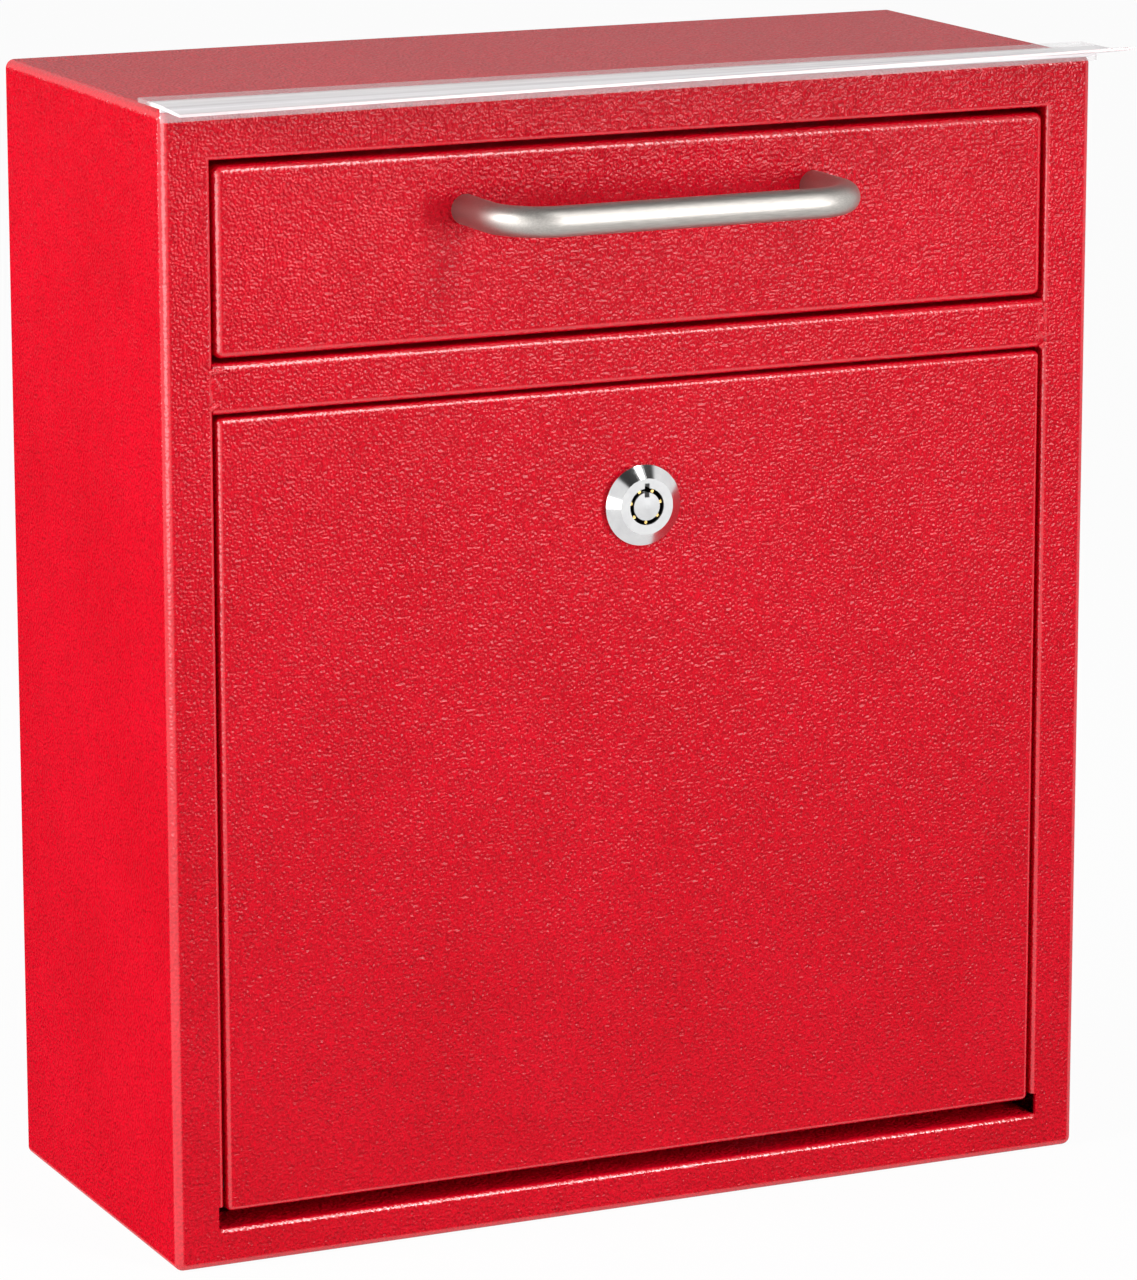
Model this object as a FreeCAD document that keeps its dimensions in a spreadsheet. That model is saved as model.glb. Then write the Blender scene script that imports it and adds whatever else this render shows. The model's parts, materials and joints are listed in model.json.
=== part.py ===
import FreeCAD, Part
import math
import os
import re

import Sketcher

# Wall-mounted drop box of folded sheet steel, with a tilting hopper, a locked door and a rain guard.
# Millimetres. +Z is up, the front faces -Y and the wall is the plane Y = 0.
# The origin is the centre of the wall holes, on the wall.
# Pieces are drawn with Z counted from the underside of the box; their Placement lowers them to the origin.

DRIVING = (
    # Box and front frame
    ("box_width", 267, "outside width of the steel box"),
    ("box_height", 305, "outside height of the steel box"),
    ("box_depth", 114.3, "outside depth, wall to front face"),
    ("sheet", 1.2, "thickness of the folded steel"),
    ("box_edge_radius", 2.4, "outer bend radius of the box edges"),
    ("stile_width", 13.5, "width of the frame at each side of the window"),
    ("top_rail_height", 13.3, "height of the frame above the window"),
    ("bottom_rail_height", 10.5, "height of the frame below the window"),
    ("jamb_depth", 14, "depth of the folded returns round the window"),
    ("jamb_bend", 1.4, "outer bend radius at the window's edge"),
    ("relief_height", 6, "height of the open corners at the foot of the side returns"),
    ("relief_width", 1.6, "width of those open corners"),
    ("stop_lip_height", 5, "drop of the lip that stops the hopper door"),
    ("stop_lip_inset", 30, "window side to the end of that lip"),
    # Back panel
    ("back_flange", 12, "depth of the back panel's folded edge"),
    ("weld_gap", 0.2, "room round the back panel for its weld"),
    ("wall_hole_radius", 3.5, "radius of the wall-screw holes"),
    ("wall_hole_span", 180, "wall holes, centre to centre across"),
    ("wall_hole_rise", 200, "wall holes, centre to centre up"),
    ("mount_height", 152.5, "underside of the box to the centre of the wall holes"),
    # Mid rail
    ("mid_rail_height", 13.2, "height of the mid rail's face"),
    ("mid_rail_depth", 16.5, "depth of the mid rail's flanges"),
    ("mid_rail_bend", 1.8, "outer bend radius of the mid rail"),
    ("strike_lip_height", 8, "drop of the lip that stops the door and holds the cam"),
    # Rain guard
    ("guard_base_depth", 15, "depth of the guard's base on the box top"),
    ("guard_tape_thickness", 0.6, "thickness of the adhesive strip"),
    ("guard_tape_setback", 3, "front edge of the box to the adhesive strip"),
    ("guard_sheet", 1.1, "thickness of the clear strip"),
    ("guard_fin_reach", 14.3, "reach of the fin in front of the box"),
    ("guard_fin_rise_left", -0.4, "rise of the fin's edge above its root at the left end"),
    ("guard_fin_rise_right", 2.2, "rise of the fin's edge above its root at the right end"),
    ("guard_fin_edge", 0.7, "thickness of the fin's edge"),
    ("guard_lip_gap", 0.2, "front face of the box to the drip lip"),
    ("guard_lip_drop_left", 2.9, "drop of the drip lip below the box top at the left end"),
    ("guard_lip_drop_right", 1.3, "drop of the drip lip below the box top at the right end"),
    ("guard_lip_thickness", 1, "thickness of the drip lip"),
    ("guard_overhang", 5, "overhang of the guard past the right side"),
    ("guard_lip_overhang", 0.8, "overhang of its drip lip past the right side"),
    # Hopper
    ("hopper_height", 49.3, "height of the hopper door"),
    ("hopper_side_gap", 0.9, "gap at each side of the hopper door"),
    ("hopper_top_gap", 1.5, "gap above the hopper door"),
    ("hopper_bottom_gap", 1.2, "gap below the hopper door"),
    ("hopper_edge_radius", 2.1, "outer bend radius of the hopper door"),
    ("hopper_pivot_depth", 6.5, "front face to the hopper's pivot"),
    ("hopper_pivot_rise", 12, "hopper door's lower edge to its pivot"),
    ("hopper_open_angle", 40, "degrees that the hopper tilts out"),
    ("tray_sheet", 1, "thickness of the tray and cheeks"),
    ("tray_crease_gap", 1.5, "mid rail to the crease of the tray, in depth"),
    ("tray_run", 48, "depth of the sloping part of the tray"),
    ("tray_slope", 25, "degrees that the tray slopes down to the rear"),
    ("cheek_gap", 0.2, "room between a cheek and the door's folded edge"),
    ("cheek_rear_height", 8, "height of a cheek at the tray's rear edge"),
    ("lug_overlap", 3, "reach of a cheek's lug past the return that stops it"),
    ("lug_angle", 10, "degrees that a cheek's lug spans"),
    ("lug_clear_angle", 0.6, "degrees left between lug and return when open"),
    ("hopper_pin_radius", 2, "radius of the hopper's pivot pins"),
    ("hopper_pin_head_radius", 3.6, "radius of their heads"),
    ("hopper_washer_radius", 3.2, "radius of their spacing washers"),
    # Handle
    ("handle_radius", 4, "radius of the handle bar"),
    ("handle_span", 100, "handle legs, centre to centre"),
    ("handle_reach", 29, "front face to the centre of the handle bar"),
    ("handle_bend", 14, "bend radius of the bar's centre line"),
    ("handle_rise", 34.1, "hopper door's lower edge to the handle"),
    ("handle_thread_depth", 10, "depth of the screw hole in a handle leg"),
    ("handle_screw_radius", 2, "radius of the handle screws"),
    ("handle_screw_head_radius", 4, "radius of their heads"),
    ("handle_screw_head_height", 2.4, "height of their heads"),
    ("handle_washer_radius", 5, "radius of their washers"),
    ("handle_washer_thickness", 0.8, "thickness of their washers"),
    # Lower door
    ("door_side_gap", 0.9, "gap at each side of the lower door"),
    ("door_top_gap", 0.9, "gap above the lower door"),
    ("door_bottom_gap", 4.4, "gap below the lower door"),
    ("door_edge_radius", 1.5, "outer bend radius of the lower door"),
    ("door_pivot_depth", 5, "front face to the lower door's pivot"),
    ("door_pivot_rise", 7, "lower door's lower edge to its pivot"),
    ("door_pin_radius", 1.5, "radius of the door's pivot pins"),
    ("door_pin_head_radius", 2.8, "radius of their heads"),
    ("door_washer_radius", 2.6, "radius of their spacing washers"),
    # Fits
    ("stop_gap", 0.3, "closed door to the lip that stops it"),
    ("pin_fit", 0.05, "radial clearance of a pin or plug in its hole"),
    ("screw_fit", 0.25, "radial clearance of a screw in a plain hole"),
    ("pin_head_height", 2, "height of a pivot pin's head"),
    ("pin_tail", 2, "length of a pivot pin beyond the return"),
    ("washer_play", 0.1, "play at each side of a spacing washer"),
    ("cam_play", 0.1, "play between the lock's barrel and the turn-stop washer"),
    ("head_top_share", 0.5, "share of a screw head's radius that is flat on top"),
    ("head_side_share", 0.5, "share of a head's height below its bevel"),
    # Lock
    ("lock_drop", 32, "lower door's top edge to the lock's centre"),
    ("lock_bezel_radius", 10.8, "radius of the bezel's rim"),
    ("lock_rim_height", 1.4, "height of the bezel's straight rim"),
    ("lock_face_radius", 7.5, "radius of the lock's flat face"),
    ("lock_face_height", 3.8, "door face to the lock's flat face"),
    ("lock_thread_radius", 9.5, "radius of the lock's threaded barrel"),
    ("lock_flat_width", 16, "barrel width across its two flats"),
    ("lock_barrel_length", 16.2, "door face to the end of the barrel"),
    ("lock_bore_radius", 4.9, "radius of the keyway's outer wall"),
    ("lock_post_radius", 3.75, "radius of the centre post"),
    ("lock_post_cone", 0.35, "height of the post's coned tip above its rim"),
    ("lock_post_tip_share", 0.15, "share of the post's radius that is flat at its tip"),
    ("lock_post_setback", 0.1, "lock face to the rim of the post"),
    ("lock_shank_radius", 2.2, "radius of the post's shank in the plug"),
    ("lock_shank_length", 5, "length of that shank"),
    ("keyway_depth", 5, "depth of the ring-shaped keyway"),
    ("index_width", 1.4, "width of the index notch"),
    ("index_reach", 1.3, "reach of the index notch past the keyway"),
    ("index_depth", 2.5, "depth of the index notch"),
    ("lock_pin_radius", 0.45, "radius of a lock pin"),
    ("lock_pin_length", 6, "length of a lock pin"),
    ("lock_pin_proud", 4.2, "pin's tip above the keyway's floor"),
    ("lock_pin_count", 7, "pins in the keyway"),
    ("lock_nut_width", 24, "lock nut across flats"),
    ("lock_nut_thickness", 4, "thickness of the lock nut"),
    ("spindle_width", 6.4, "width of the square spindle"),
    ("stop_washer_radius", 7.5, "radius of the turn-stop washer"),
    ("stop_washer_thickness", 0.8, "thickness of the turn-stop washer"),
    ("cam_width", 14, "width of the cam at its hub"),
    ("cam_tip_width", 10, "width of the cam at its tip"),
    ("cam_length", 36, "spindle to the cam's tip"),
    ("cam_thickness", 2, "thickness of the cam"),
    ("cam_tip_radius", 2.5, "rounding of the cam's tip"),
    ("cam_screw_radius", 2, "radius of the cam screw"),
    ("cam_screw_length", 9, "length of the cam screw's shank"),
    ("cam_screw_head_radius", 4.2, "radius of the cam screw's head"),
    ("cam_screw_head_height", 2.6, "height of the cam screw's head"),
    ("cam_washer_radius", 5, "radius of the cam washer"),
    ("cam_washer_thickness", 0.8, "thickness of the cam washer"),
    ("overrun", 1, "how far a cut runs past the face that it opens"),
)

NAMES = {alias for alias, value, note in DRIVING}
NEAR = 0.001

doc = FreeCAD.newDocument("DropBox")
dims = doc.addObject("Spreadsheet::Sheet", "Dims")
for row, (alias, number, note) in enumerate(DRIVING, start=1):
    dims.set(f"A{row}", note)
    dims.set(f"B{row}", str(number))
    dims.setAlias(f"B{row}", alias)
doc.recompute()

# Places that several pieces share, as formulas of the sheet's names
FRONT = "(-box_depth)"
WINDOW_HALF = "(box_width / 2 - stile_width)"
WINDOW_TOP = "(box_height - top_rail_height)"
HOPPER_HALF = f"({WINDOW_HALF} - hopper_side_gap)"
HOPPER_TOP = f"({WINDOW_TOP} - hopper_top_gap)"
HOPPER_BOTTOM = f"({HOPPER_TOP} - hopper_height)"
HOPPER_DEPTH = "(jamb_depth - sheet - stop_gap)"
HOPPER_PIVOT = f"({HOPPER_BOTTOM} + hopper_pivot_rise)"
HANDLE_LEVEL = f"({HOPPER_BOTTOM} + handle_rise)"
MID_RAIL_TOP = f"({HOPPER_BOTTOM} - hopper_bottom_gap)"
MID_RAIL_LOW = f"({MID_RAIL_TOP} - mid_rail_height)"
DOOR_HALF = f"({WINDOW_HALF} - door_side_gap)"
DOOR_BOTTOM = "(bottom_rail_height + door_bottom_gap)"
DOOR_TOP = f"({MID_RAIL_LOW} - door_top_gap)"
DOOR_DEPTH = "(mid_rail_depth - sheet - stop_gap)"
DOOR_PIVOT = f"({DOOR_BOTTOM} + door_pivot_rise)"
LOCK_LEVEL = f"({DOOR_TOP} - lock_drop)"


def cell(formula):
    """Turn a formula of sheet names into an expression that an object can be bound to."""
    return re.sub(r"[a-z_]+", lambda word: f"Dims.{word[0]}" if word[0] in NAMES else word[0], formula)


def value(formula):
    """Work out a formula from the sheet's present numbers."""
    result = dims.evalExpression(cell(formula))
    return float(getattr(result, "Value", result))


def place(piece, x="0", y="0", z="0"):
    """Bind a piece's Placement; z is counted from the underside of the box."""
    piece.setExpression("Placement.Base.x", cell(x))
    piece.setExpression("Placement.Base.y", cell(y))
    piece.setExpression("Placement.Base.z", cell(f"{z} - mount_height"))
    return piece


def new_body(label, x="0", y="0", z="0"):
    """Start a body with a Label of its own."""
    body = doc.addObject("PartDesign::Body", label)
    body.Label = label
    return place(body, x, y, z)


def sketch_on(body, role, offset="0"):
    """Start a sketch on one of the body's own planes, moved along the plane's normal."""
    sketch = body.newObject("Sketcher::SketchObject", f"{body.Label}_sketch")
    plane = next(feature for feature in body.Origin.OriginFeatures if feature.Role == role)
    sketch.AttachmentSupport = [(plane, "")]
    sketch.MapMode = "FlatFace"
    sketch.setExpression("AttachmentOffset.Base.z", cell(offset))
    return sketch


def bind(sketch, kind, formula, *where):
    """Add one dimension to a sketch and bind it to a formula."""
    number = sketch.addConstraint(Sketcher.Constraint(kind, *where, value(formula)))
    sketch.setExpression(f"Constraints[{number}]", cell(formula))


def pin_down(sketch, geometry, point, across, up):
    """Dimension one point of a sketch from the sketch's origin."""
    bind(sketch, "DistanceX", across, -1, 1, geometry, point)
    bind(sketch, "DistanceY", up, -1, 1, geometry, point)


def outline(sketch, corners):
    """Draw a closed outline.

    A corner is (across, up), with a straight edge to the next corner, or (across, up, centre across,
    centre up), with an arc about that centre to the next corner, the short way round.
    """
    first = sketch.GeometryCount
    draw_chain(sketch, corners + corners[:1])
    count = len(corners)
    starts = [start_point(corners, number) for number in range(count)]
    for number in range(count):
        following = (number + 1) % count
        ends_at = 3 - starts[number]
        sketch.addConstraint(Sketcher.Constraint(
            "Coincident", first + number, ends_at, first + following, starts[following]))
    for number, corner in enumerate(corners):
        pin_down(sketch, first + number, starts[number], corner[0], corner[1])
        fix_arc(sketch, first + number, corner, corners[(number + 1) % count])


def path(sketch, corners):
    """Draw an open line of straight edges and arcs, with corners written as for an outline."""
    draw_chain(sketch, corners)
    last = len(corners) - 2
    starts = [start_point(corners, number) for number in range(last + 1)]
    for number in range(last):
        sketch.addConstraint(Sketcher.Constraint(
            "Coincident", number, 3 - starts[number], number + 1, starts[number + 1]))
    for number in range(last + 1):
        pin_down(sketch, number, starts[number], corners[number][0], corners[number][1])
        fix_arc(sketch, number, corners[number], corners[number + 1])
    pin_down(sketch, last, 3 - starts[last], corners[-1][0], corners[-1][1])


def draw_chain(sketch, corners):
    """Draw the edges from each corner to the next at their present sizes."""
    for here, there in zip(corners, corners[1:]):
        start = FreeCAD.Vector(value(here[0]), value(here[1]), 0)
        end = FreeCAD.Vector(value(there[0]), value(there[1]), 0)
        if len(here) == 2:
            sketch.addGeometry(Part.LineSegment(start, end))
            continue
        centre = FreeCAD.Vector(value(here[2]), value(here[3]), 0)
        if turns_left(here, there):
            low, high = start - centre, end - centre
        else:
            low, high = end - centre, start - centre
        circle = Part.Circle(centre, FreeCAD.Vector(0, 0, 1), low.Length)
        sketch.addGeometry(Part.ArcOfCircle(circle, math.atan2(low.y, low.x), math.atan2(high.y, high.x)))


def turns_left(here, there):
    """Say whether the arc from one corner to the next runs counter-clockwise."""
    start_x = value(here[0]) - value(here[2])
    start_y = value(here[1]) - value(here[3])
    end_x = value(there[0]) - value(here[2])
    end_y = value(there[1]) - value(here[3])
    return start_x * end_y - start_y * end_x > 0


def start_point(corners, number):
    """Give the point number at which an edge leaves its corner: 2 on an arc drawn backwards, else 1."""
    here = corners[number]
    there = corners[(number + 1) % len(corners)]
    return 2 if len(here) == 4 and not turns_left(here, there) else 1


def fix_arc(sketch, geometry, here, there):
    """Fix an arc's centre along the line on which its two ends leave it free."""
    if len(here) == 2:
        return
    across = abs(value(there[0]) - value(here[0]))
    up = abs(value(there[1]) - value(here[1]))
    if up >= across:
        bind(sketch, "DistanceX", here[2], -1, 1, geometry, 3)
    else:
        bind(sketch, "DistanceY", here[3], -1, 1, geometry, 3)


def rectangle(sketch, left, right, low, high):
    """Draw a rectangle between four formulas."""
    outline(sketch, [(left, low), (right, low), (right, high), (left, high)])


def circle_at(sketch, across, up, radius):
    """Draw a circle with its centre and radius bound."""
    centre = FreeCAD.Vector(value(across), value(up), 0)
    number = sketch.addGeometry(Part.Circle(centre, FreeCAD.Vector(0, 0, 1), value(radius)))
    pin_down(sketch, number, 3, across, up)
    bind(sketch, "Radius", radius, number)


def pad(body, sketch, length, midplane=False, backward=False):
    """Add material from a sketch, along the plane's normal unless backward."""
    feature = body.newObject("PartDesign::Pad", f"{body.Label}_pad")
    feature.Profile = sketch
    feature.setExpression("Length", cell(length))
    feature.Midplane = midplane
    feature.Reversed = backward
    doc.recompute()
    return feature


def cut(body, sketch, length, midplane=False, forward=False):
    """Take material away against the plane's normal unless forward, and make sure that some went."""
    before = body.Shape.Volume
    feature = body.newObject("PartDesign::Pocket", f"{body.Label}_cut")
    feature.Profile = sketch
    feature.setExpression("Length", cell(length))
    feature.Midplane = midplane
    feature.Reversed = forward
    doc.recompute()
    if body.Shape.Volume > before - NEAR:
        raise RuntimeError(f"{feature.Label} cuts nothing")
    return feature


def round_edges(body, radius, wanted):
    """Round the edges of the body that the test picks."""
    base = body.Tip
    edges = [f"Edge{number}" for number, edge in enumerate(base.Shape.Edges, start=1) if wanted(edge)]
    feature = body.newObject("PartDesign::Fillet", f"{body.Label}_bend")
    feature.Base = (base, edges)
    feature.setExpression("Radius", cell(radius))
    doc.recompute()
    return feature


def turned(label, role, corners, x="0", y="0", z="0"):
    """Make a turned piece from a half profile (along, radius) on the given plane."""
    body = new_body(label, x, y, z)
    sketch = sketch_on(body, role)
    outline(sketch, corners)
    feature = body.newObject("PartDesign::Revolution", f"{label}_turn")
    feature.Profile = sketch
    feature.ReferenceAxis = (sketch, ["H_Axis"])
    feature.Angle = 360
    doc.recompute()
    return body


def both_sides(label, piece):
    """Join a piece and its mirror image across the middle of the box in one group."""
    mirror = doc.addObject("Part::Mirroring", f"{label}_mirror")
    mirror.Source = piece
    mirror.Normal = FreeCAD.Vector(1, 0, 0)
    return group(label, [piece, mirror])


def group(label, pieces):
    """Gather separate solids in one named group."""
    compound = doc.addObject("Part::Compound", label)
    compound.Label = label
    compound.Links = pieces
    doc.recompute()
    return compound


def on_plane(position, formula):
    """Say whether a coordinate lies at a formula's value."""
    return abs(position - value(formula)) < NEAR


def flat_at(edge, formula):
    """Say whether a whole edge lies in the plane of that Y."""
    return edge.BoundBox.YLength < NEAR and on_plane(edge.CenterOfMass.y, formula)


def folded(label, half_width, low, high, opening, closed, radius):
    """Fold an open box of sheet with rounded bends, from the Y of its open side to that of its flat side."""
    body = new_body(label)
    depth = f"abs(({closed}) - ({opening}))"
    frontward = value(closed) < value(opening)
    outside = sketch_on(body, "XZ_Plane", f"-({opening})")
    rectangle(outside, f"-{half_width}", half_width, low, high)
    pad(body, outside, depth, backward=not frontward)
    round_edges(body, radius, lambda edge: not flat_at(edge, opening))
    inside = sketch_on(body, "XZ_Plane", f"-({opening})")
    rectangle(inside, f"-{half_width} + sheet", f"{half_width} - sheet", f"{low} + sheet", f"{high} - sheet")
    cut(body, inside, f"{depth} - sheet", forward=frontward)
    room_x = value(f"{half_width} - sheet") + NEAR
    room_low = value(f"{low} + sheet") - NEAR
    room_high = value(f"{high} - sheet") + NEAR
    round_edges(body, f"{radius} - sheet", lambda edge: (
        abs(edge.CenterOfMass.x) < room_x
        and room_low < edge.CenterOfMass.z < room_high
        and not flat_at(edge, opening)
        and not flat_at(edge, closed)))
    return body


def pan(label, half_width, low, high, depth, radius):
    """Fold a door pan with its flat side in the front plane of the box."""
    return folded(label, half_width, low, high, f"{FRONT} + {depth}", FRONT, radius)


def side_holes(body, depth, level, radius, length):
    """Drill one hole straight across the piece, at a depth behind the front face."""
    sketch = sketch_on(body, "YZ_Plane")
    circle_at(sketch, f"{FRONT} + {depth}", level, radius)
    cut(body, sketch, length, midplane=True)


def cabinet_shell():
    """Case with the front frame, its folded returns, corner reliefs, pivot holes and hopper stop."""
    body = folded("cabinet_shell", "(box_width / 2)", "0", "box_height", "0", FRONT, "box_edge_radius")
    returns = sketch_on(body, "XZ_Plane", "box_depth")
    rectangle(returns, f"-{WINDOW_HALF} - sheet", f"{WINDOW_HALF} + sheet",
              "bottom_rail_height - sheet", f"{WINDOW_TOP} + sheet")
    pad(body, returns, "jamb_depth", backward=True)
    window = sketch_on(body, "XZ_Plane", "box_depth")
    rectangle(window, f"-{WINDOW_HALF}", WINDOW_HALF, "bottom_rail_height", WINDOW_TOP)
    cut(body, window, "jamb_depth + overrun")
    inside_x = value(WINDOW_HALF) + NEAR
    low_z = value("bottom_rail_height") - NEAR
    high_z = value(WINDOW_TOP) + NEAR
    round_edges(body, "jamb_bend", lambda edge: (
        on_plane(edge.BoundBox.YMax, FRONT)
        and abs(edge.CenterOfMass.x) < inside_x
        and low_z < edge.CenterOfMass.z < high_z))

    reliefs = sketch_on(body, "XZ_Plane", "box_depth + overrun")
    for inner, outer in ((f"-{WINDOW_HALF} + overrun", f"-{WINDOW_HALF} - relief_width"),
                         (f"{WINDOW_HALF} - overrun", f"{WINDOW_HALF} + relief_width")):
        rectangle(reliefs, inner, outer, "bottom_rail_height", "bottom_rail_height + relief_height")
    cut(body, reliefs, "jamb_depth + 2 * overrun")

    stop_lip = sketch_on(body, "XZ_Plane", "box_depth - jamb_depth")
    rectangle(stop_lip, f"-{WINDOW_HALF} + stop_lip_inset", f"{WINDOW_HALF} - stop_lip_inset",
              f"{WINDOW_TOP} - stop_lip_height", f"{WINDOW_TOP} + sheet")
    pad(body, stop_lip, "sheet")

    across_returns = f"2 * ({WINDOW_HALF} + sheet + overrun)"
    side_holes(body, "hopper_pivot_depth", HOPPER_PIVOT, "hopper_pin_radius + pin_fit", across_returns)
    side_holes(body, "door_pivot_depth", DOOR_PIVOT, "door_pin_radius + pin_fit", across_returns)
    return body


def back_panel():
    """Welded back with a folded edge and the four wall-screw holes."""
    half_width = "(box_width / 2 - sheet - weld_gap)"
    body = folded("back_panel", half_width, "sheet + weld_gap", "box_height - sheet - weld_gap",
                  "-back_flange", "0", "box_edge_radius")
    holes = sketch_on(body, "XZ_Plane")
    for x in ("-wall_hole_span / 2", "wall_hole_span / 2"):
        for z in ("mount_height - wall_hole_rise / 2", "mount_height + wall_hole_rise / 2"):
            circle_at(holes, x, z, "wall_hole_radius")
    cut(body, holes, "sheet + overrun", forward=True)
    return body


def mid_rail():
    """Folded channel between the doors; the lip under it stops the lower door and holds the cam."""
    body = new_body("mid_rail")
    sketch = sketch_on(body, "YZ_Plane")
    rear = f"{FRONT} + mid_rail_depth"
    low = MID_RAIL_LOW
    inner_front = f"{FRONT} + sheet"
    outline(sketch, [
        (FRONT, low),
        (f"{rear} - sheet", low),
        (f"{rear} - sheet", f"{low} - strike_lip_height"),
        (rear, f"{low} - strike_lip_height"),
        (rear, f"{low} + sheet"),
        (inner_front, f"{low} + sheet"),
        (inner_front, f"{MID_RAIL_TOP} - sheet"),
        (rear, f"{MID_RAIL_TOP} - sheet"),
        (rear, MID_RAIL_TOP),
        (FRONT, MID_RAIL_TOP),
    ])
    pad(body, sketch, f"2 * {WINDOW_HALF}", midplane=True)
    round_edges(body, "mid_rail_bend", lambda edge: (
        edge.BoundBox.XLength > NEAR and on_plane(edge.CenterOfMass.y, FRONT)))
    round_edges(body, "mid_rail_bend - sheet", lambda edge: (
        edge.BoundBox.XLength > NEAR and on_plane(edge.CenterOfMass.y, inner_front)))
    return body


GUARD_BASE = "(box_height + guard_tape_thickness)"
GUARD_LIP_BACK = f"({FRONT} - guard_lip_gap)"
GUARD_LIP_FRONT = f"({GUARD_LIP_BACK} - guard_lip_thickness)"


def guard_section(body, across, rise, drop):
    """Draw the rain guard's outline at one of its ends."""
    sketch = sketch_on(body, "YZ_Plane", across)
    back = f"{FRONT} + guard_base_depth"
    edge = f"{FRONT} - guard_fin_reach"
    outline(sketch, [
        (back, GUARD_BASE),
        (GUARD_LIP_BACK, GUARD_BASE),
        (GUARD_LIP_BACK, f"box_height - {drop}"),
        (GUARD_LIP_FRONT, f"box_height - {drop}"),
        (GUARD_LIP_FRONT, GUARD_BASE),
        (edge, f"{GUARD_BASE} + {rise}"),
        (edge, f"{GUARD_BASE} + {rise} + guard_fin_edge"),
        (GUARD_LIP_FRONT, f"{GUARD_BASE} + guard_sheet"),
        (back, f"{GUARD_BASE} + guard_sheet"),
    ])
    return sketch


def rain_guard():
    """Clear strip: a base on the box top, a drip lip and a fin over the doors that lifts to the right."""
    body = new_body("rain_guard")
    right_end = "box_width / 2 + guard_overhang"
    strip = body.newObject("PartDesign::AdditiveLoft", "rain_guard_strip")
    strip.Profile = guard_section(body, "-box_width / 2", "guard_fin_rise_left", "guard_lip_drop_left")
    strip.Sections = [guard_section(body, right_end, "guard_fin_rise_right", "guard_lip_drop_right")]
    strip.Ruled = True
    doc.recompute()
    lip_end = sketch_on(body, "XZ_Plane", "box_depth + guard_lip_gap + guard_lip_thickness + overrun")
    rectangle(lip_end, "box_width / 2 + guard_lip_overhang", f"{right_end} + overrun",
              "box_height - guard_lip_drop_left", GUARD_BASE)
    cut(body, lip_end, "guard_lip_thickness + 2 * overrun")
    return body


def guard_tape():
    """Adhesive strip between the rain guard and the box top."""
    tape = place(doc.addObject("Part::Box", "guard_tape"),
                 "-box_width / 2 + box_edge_radius", f"{FRONT} + guard_tape_setback", "box_height")
    tape.Label = "guard_tape"
    tape.setExpression("Length", cell("box_width - 2 * box_edge_radius"))
    tape.setExpression("Width", cell("guard_base_depth - guard_tape_setback"))
    tape.setExpression("Height", cell("guard_tape_thickness"))
    return tape


def hopper_door():
    """Upper door pan with the handle's screw holes and the pivot holes."""
    body = pan("hopper_door", HOPPER_HALF, HOPPER_BOTTOM, HOPPER_TOP, HOPPER_DEPTH, "hopper_edge_radius")
    holes = sketch_on(body, "XZ_Plane", "box_depth + overrun")
    for x in ("-handle_span / 2", "handle_span / 2"):
        circle_at(holes, x, HANDLE_LEVEL, "handle_screw_radius + screw_fit")
    cut(body, holes, "sheet + 2 * overrun")
    side_holes(body, "hopper_pivot_depth", HOPPER_PIVOT, "hopper_pin_radius + pin_fit",
               f"2 * {HOPPER_HALF} + 2 * overrun")
    return body


TRAY_BOTTOM = f"({HOPPER_BOTTOM} + sheet)"
TRAY_CREASE = f"({FRONT} + mid_rail_depth + tray_crease_gap)"
TRAY_UNDER_CREASE = f"({TRAY_CREASE} - tray_sheet * tan(tray_slope / 2))"
TRAY_REAR = f"({TRAY_CREASE} + tray_run)"
TRAY_REAR_TOP = f"({TRAY_BOTTOM} + tray_sheet - tray_run * tan(tray_slope))"
TRAY_REAR_UNDER = f"({TRAY_REAR_TOP} - tray_sheet / cos(tray_slope))"
CHEEK_INSIDE = f"({HOPPER_HALF} - sheet - tray_sheet)"


def hopper_tray():
    """Floor behind the hopper door: flat over the mid rail, then sloping down to the rear."""
    body = new_body("hopper_tray")
    sketch = sketch_on(body, "YZ_Plane")
    front = f"{FRONT} + hopper_edge_radius"
    outline(sketch, [
        (front, TRAY_BOTTOM),
        (TRAY_UNDER_CREASE, TRAY_BOTTOM),
        (TRAY_REAR, TRAY_REAR_UNDER),
        (TRAY_REAR, TRAY_REAR_TOP),
        (TRAY_CREASE, f"{TRAY_BOTTOM} + tray_sheet"),
        (front, f"{TRAY_BOTTOM} + tray_sheet"),
    ])
    pad(body, sketch, f"2 * {CHEEK_INSIDE}", midplane=True)
    return body


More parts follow.
